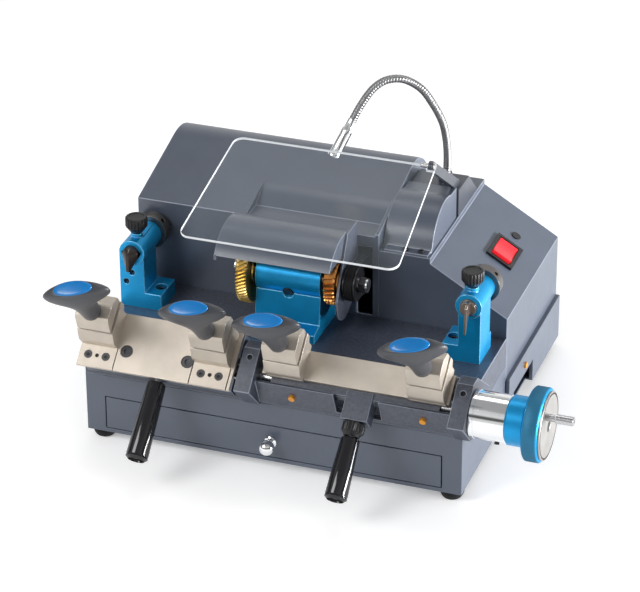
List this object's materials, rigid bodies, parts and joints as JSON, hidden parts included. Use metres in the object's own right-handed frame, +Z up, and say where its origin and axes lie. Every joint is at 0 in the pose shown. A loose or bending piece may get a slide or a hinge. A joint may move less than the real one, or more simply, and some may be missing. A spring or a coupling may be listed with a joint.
{
  "type": "key duplicating machine",
  "caption": "Bench key duplicator: blue spindle block with slotting and milling cutters, rocking vise carriages, stylus gauges, handwheel feed, clear shield and lamp.",
  "frame": {"origin": "centre of the footprint of the bounding box, on the bench under the feet", "axes": "+X to the handwheel end, +Y to the rear, +Z up"},
  "size_m": [0.4988, 0.4124, 0.3279],
  "materials": {
    "body_paint": "satin dark blue-grey paint",
    "casting_paint": "satin dark grey paint on a casting",
    "blue_anodised": "bright blue anodised metal",
    "nickel": "satin nickel-plated, warm",
    "steel": "ground steel",
    "chrome": "polished chrome",
    "aluminium": "turned aluminium",
    "brass": "titanium-coated, gold",
    "copper": "bronze coloured",
    "black_plastic": "glossy black",
    "grey_plastic": "moulded dark grey plastic",
    "black_metal": "black oxide",
    "rubber": "black rubber",
    "clear": "clear acrylic sheet",
    "red_plastic": "translucent red",
    "tracer_steel": "hardened, dark"
  },
  "bodies": {
    "machine": {"cabinet": "body_paint", "feet": "rubber", "bed_casting": "casting_paint", "brass_plugs": "copper", "black_screws": "black_metal", "cap_screws": "black_metal", "feed_sleeve": "chrome", "spindle_block": "blue_anodised", "spindle_bearings": "steel", "left_gauge_block": "blue_anodised", "right_gauge_block": "blue_anodised", "motor_cover": "body_paint", "switch_housing": "body_paint", "belt_cover": "body_paint", "cutter_guard": "body_paint", "belt_guard": "casting_paint", "rear_bracket": "casting_paint", "gooseneck": "steel", "lamp_head": "aluminium", "motor_body": "casting_paint", "drive_belt": "rubber", "switch_bezel": "black_plastic", "mains_inlet": "black_plastic"},
    "drawer": {"drawer_box": "body_paint", "drawer_knob": "chrome"},
    "spindle": {"spindle_shaft": "steel", "slotting_cutter": "brass", "milling_cutter": "copper", "cutter_nuts": "steel", "spindle_pulley": "aluminium"},
    "rotor": {"motor_rotor": "steel"},
    "feed_wheel": {"handwheel": "blue_anodised", "dial_ring": "blue_anodised", "crank_cap": "steel"},
    "feed_shaft": {"cross_shaft": "steel"},
    "left_table": {"left_carriage": "casting_paint", "left_plate": "nickel", "left_jaw_bases": "nickel", "left_plate_screws": "black_metal", "left_lever": "black_plastic"},
    "right_table": {"right_carriage": "casting_paint", "right_bar": "nickel", "right_lever": "black_plastic"},
    "lock_knob": {"lever_lock_knob": "black_metal"},
    "left_stylus": {"left_tracer": "tracer_steel"},
    "right_stylus": {"right_tracer": "tracer_steel"},
    "left_adjuster": {"left_gauge_ring": "steel"},
    "right_adjuster": {"right_gauge_ring": "steel"},
    "left_stylus_clamp": {"left_gauge_knob": "black_metal"},
    "right_stylus_clamp": {"right_gauge_knob": "black_metal"},
    "splinter_shield": {"shield": "clear"},
    "power_rocker": {"rocker": "red_plastic"},
    "upper_jaw_1": {"clamp_jaw_1": "nickel"},
    "vise_knob_1": {"clamp_knob_1": "grey_plastic"},
    "upper_jaw_2": {"clamp_jaw_2": "nickel"},
    "vise_knob_2": {"clamp_knob_2": "grey_plastic"},
    "upper_jaw_3": {"clamp_jaw_3": "nickel"},
    "vise_knob_3": {"clamp_knob_3": "grey_plastic"},
    "upper_jaw_4": {"clamp_jaw_4": "nickel"},
    "vise_knob_4": {"clamp_knob_4": "grey_plastic"}
  },
  "joints": [
    {"name": "drawer_slide", "type": "slide", "parent": "machine", "child": "drawer", "axis": [0, -1, 0], "range_m": [0, 0.04]},
    {"name": "motor_spin", "type": "hinge", "parent": "machine", "child": "rotor", "pos_m": [-0.003, 0.11624, 0.138], "axis": [1, 0, 0], "continuous": true},
    {"name": "spindle_spin", "type": "hinge", "parent": "machine", "child": "spindle", "pos_m": [-0.049, -0.01176, 0.156], "axis": [1, 0, 0], "continuous": true},
    {"name": "handwheel_turn", "type": "hinge", "parent": "machine", "child": "feed_wheel", "pos_m": [0.211, -0.11776, 0.101], "axis": [1, 0, 0], "range_deg": [-721, 721]},
    {"name": "cross_feed", "type": "slide", "parent": "machine", "child": "feed_shaft", "axis": [1, 0, 0], "range_m": [-0.004, 0.004]},
    {"name": "left_table_rock", "type": "hinge", "parent": "feed_shaft", "child": "left_table", "pos_m": [-0.154, -0.11776, 0.101], "axis": [-1, 0, 0], "range_deg": [0, 62]},
    {"name": "right_table_rock", "type": "hinge", "parent": "feed_shaft", "child": "right_table", "pos_m": [0.041, -0.11776, 0.101], "axis": [-1, 0, 0], "range_deg": [0, 62]},
    {"name": "lock_knob_turn", "type": "hinge", "parent": "right_table", "child": "lock_knob", "pos_m": [0.0435, -0.14786, 0.08063], "axis": [0, -0.7431, -0.6691], "range_deg": [-180, 180]},
    {"name": "jaw_1_lift", "type": "slide", "parent": "left_table", "child": "upper_jaw_1", "axis": [0, -0.6691, 0.7431], "range_m": [0, 0.004]},
    {"name": "knob_1_turn", "type": "hinge", "parent": "upper_jaw_1", "child": "vise_knob_1", "pos_m": [-0.218, -0.15866, 0.17183], "axis": [0, -0.6691, 0.7431], "range_deg": [0, 721]},
    {"name": "jaw_2_lift", "type": "slide", "parent": "left_table", "child": "upper_jaw_2", "axis": [0, -0.6691, 0.7431], "range_m": [0, 0.004]},
    {"name": "knob_2_turn", "type": "hinge", "parent": "upper_jaw_2", "child": "vise_knob_2", "pos_m": [-0.103, -0.15866, 0.17183], "axis": [0, -0.6691, 0.7431], "range_deg": [0, 721]},
    {"name": "jaw_3_lift", "type": "slide", "parent": "right_table", "child": "upper_jaw_3", "axis": [0, -0.6691, 0.7431], "range_m": [0, 0.004]},
    {"name": "knob_3_turn", "type": "hinge", "parent": "upper_jaw_3", "child": "vise_knob_3", "pos_m": [-0.0305, -0.15866, 0.17183], "axis": [0, -0.6691, 0.7431], "range_deg": [0, 721]},
    {"name": "jaw_4_lift", "type": "slide", "parent": "right_table", "child": "upper_jaw_4", "axis": [0, -0.6691, 0.7431], "range_m": [0, 0.004]},
    {"name": "knob_4_turn", "type": "hinge", "parent": "upper_jaw_4", "child": "vise_knob_4", "pos_m": [0.1095, -0.15866, 0.17183], "axis": [0, -0.6691, 0.7431], "range_deg": [0, 721]},
    {"name": "left_stylus_slide", "type": "slide", "parent": "machine", "child": "left_stylus", "axis": [0, 1, 0], "range_m": [-0.002, 0.002]},
    {"name": "left_adjuster_turn", "type": "hinge", "parent": "machine", "child": "left_adjuster", "pos_m": [-0.2205, 0.01224, 0.1655], "axis": [0, 1, 0], "range_deg": [-721, 721]},
    {"name": "left_stylus_clamp_turn", "type": "hinge", "parent": "machine", "child": "left_stylus_clamp", "pos_m": [-0.2205, -0.02476, 0.19], "axis": [0, 0, 1], "range_deg": [0, 180]},
    {"name": "right_stylus_slide", "type": "slide", "parent": "machine", "child": "right_stylus", "axis": [0, 1, 0], "range_m": [-0.002, 0.002]},
    {"name": "right_adjuster_turn", "type": "hinge", "parent": "machine", "child": "right_adjuster", "pos_m": [0.12, 0.01224, 0.1655], "axis": [0, 1, 0], "range_deg": [-721, 721]},
    {"name": "right_stylus_clamp_turn", "type": "hinge", "parent": "machine", "child": "right_stylus_clamp", "pos_m": [0.12, -0.02476, 0.19], "axis": [0, 0, 1], "range_deg": [0, 180]},
    {"name": "shield_lift", "type": "hinge", "parent": "machine", "child": "splinter_shield", "pos_m": [0.051, 0.04324, 0.2648], "axis": [-1, 0, 0], "range_deg": [0, 65]},
    {"name": "power_rocker_tip", "type": "hinge", "parent": "machine", "child": "power_rocker", "pos_m": [0.1059, 0.11924, 0.13766], "axis": [0.8565, 0, -0.5161], "range_deg": [0, 12]}
  ],
  "couplings": [
    {"joint": "spindle_spin", "follows": "motor_spin", "ratio": 1.5625},
    {"joint": "handwheel_turn", "follows": "cross_feed", "rad_per_m": 3141.6},
    {"joint": "knob_1_turn", "follows": "jaw_1_lift", "rad_per_m": 3141.6},
    {"joint": "knob_2_turn", "follows": "jaw_2_lift", "rad_per_m": 3141.6},
    {"joint": "knob_3_turn", "follows": "jaw_3_lift", "rad_per_m": 3141.6},
    {"joint": "knob_4_turn", "follows": "jaw_4_lift", "rad_per_m": 3141.6},
    {"joint": "left_adjuster_turn", "follows": "left_stylus_slide", "rad_per_m": 6283.2},
    {"joint": "right_adjuster_turn", "follows": "right_stylus_slide", "rad_per_m": 6283.2}
  ]
}
